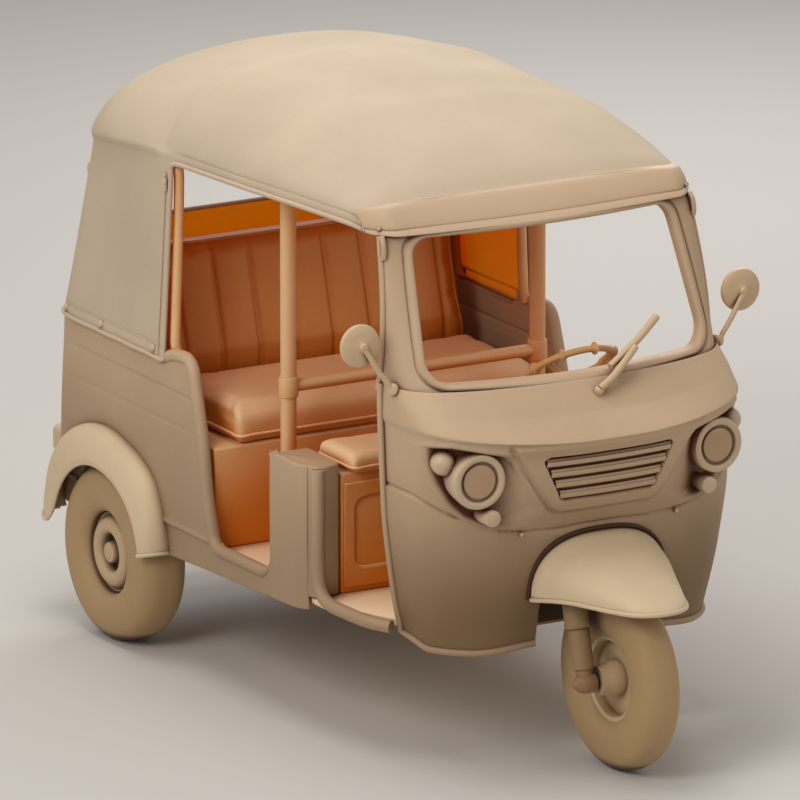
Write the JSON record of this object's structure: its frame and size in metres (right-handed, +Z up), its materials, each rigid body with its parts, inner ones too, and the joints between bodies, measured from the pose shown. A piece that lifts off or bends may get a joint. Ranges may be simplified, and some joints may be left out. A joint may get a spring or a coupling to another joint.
{
  "type": "auto rickshaw",
  "caption": "Full-size auto rickshaw: one steered front wheel, open cabin with driver and passenger seats, fabric hood, rear engine bay with a lifting lid.",
  "frame": {"origin": "on the ground, under the middle of the vehicle's length and width", "axes": "+X to the vehicle's left, +Y to its rear, +Z up; it drives towards -Y"},
  "size_m": [1.328, 2.4799, 1.712],
  "materials": {
    "body_paint": "matte",
    "cabin_paint": "matte",
    "frame_paint": "matte",
    "wheel_paint": "matte",
    "tyre_rubber": "matte",
    "hood_cloth": "matte",
    "seat_cover": "satin",
    "lamp_plastic": "satin",
    "trim_plastic": "matte"
  },
  "bodies": {
    "body": {"body_side_left": "body_paint", "body_side_right": "body_paint", "chassis_frame": "frame_paint", "drive_shafts": "frame_paint", "driver_seat_box": "cabin_paint", "driver_seat_cushion": "seat_cover", "engine_block": "frame_paint", "floor_pan": "cabin_paint", "front_mudguard": "body_paint", "front_panel": "body_paint", "front_wheel_well": "cabin_paint", "grille": "trim_plastic", "headlamp_left": "lamp_plastic", "headlamp_right": "lamp_plastic", "hood": "hood_cloth", "hood_frame": "cabin_paint", "mirrors": "trim_plastic", "partition_frame": "cabin_paint", "passenger_seat_back": "seat_cover", "passenger_seat_base": "cabin_paint", "passenger_seat_cushion": "seat_cover", "rear_bumper": "frame_paint", "rear_dampers": "frame_paint", "rear_fender_left": "body_paint", "rear_fender_right": "body_paint", "rear_panel": "body_paint", "roof_visor": "body_paint", "side_box_left": "body_paint", "side_box_right": "body_paint", "small_lamps": "lamp_plastic", "steering_column": "cabin_paint", "steering_head": "cabin_paint", "tail_lamps": "lamp_plastic", "trailing_arm_left": "frame_paint", "trailing_arm_right": "frame_paint", "windscreen_frame": "body_paint", "wiper": "trim_plastic"},
    "front_fork": {"front_fork": "frame_paint"},
    "front_wheel": {"front_tyre": "tyre_rubber", "front_rim": "wheel_paint"},
    "rear_wheel_left": {"rear_tyre_left": "tyre_rubber", "rear_rim_left": "wheel_paint"},
    "rear_wheel_right": {"rear_tyre_right": "tyre_rubber", "rear_rim_right": "wheel_paint"},
    "steering_wheel": {"steering_wheel": "trim_plastic"},
    "engine_lid": {"engine_lid": "body_paint"}
  },
  "joints": [
    {"name": "fork_steer", "type": "hinge", "parent": "body", "child": "front_fork", "pos_m": [0, -0.93477, 0.24154], "axis": [0, 0.2588, 0.9659], "range_deg": [-35, 35]},
    {"name": "front_wheel_spin", "type": "hinge", "parent": "front_fork", "child": "front_wheel", "pos_m": [0, -0.985, 0.255], "axis": [1, 0, 0], "continuous": true},
    {"name": "rear_wheel_left_spin", "type": "hinge", "parent": "body", "child": "rear_wheel_left", "pos_m": [0.565, 0.785, 0.255], "axis": [1, 0, 0], "continuous": true},
    {"name": "rear_wheel_right_spin", "type": "hinge", "parent": "body", "child": "rear_wheel_right", "pos_m": [-0.565, 0.785, 0.255], "axis": [1, 0, 0], "continuous": true},
    {"name": "steering_wheel_turn", "type": "hinge", "parent": "body", "child": "steering_wheel", "pos_m": [0.172, -0.445, 0.95], "axis": [0, 0.5736, 0.8192], "range_deg": [-106, 106]},
    {"name": "engine_lid_hinge", "type": "hinge", "parent": "body", "child": "engine_lid", "pos_m": [0, 1.15, 0.804], "axis": [1, 0, 0], "range_deg": [0, 75]}
  ],
  "couplings": [
    {"joint": "steering_wheel_turn", "follows": "fork_steer", "ratio": 3}
  ]
}
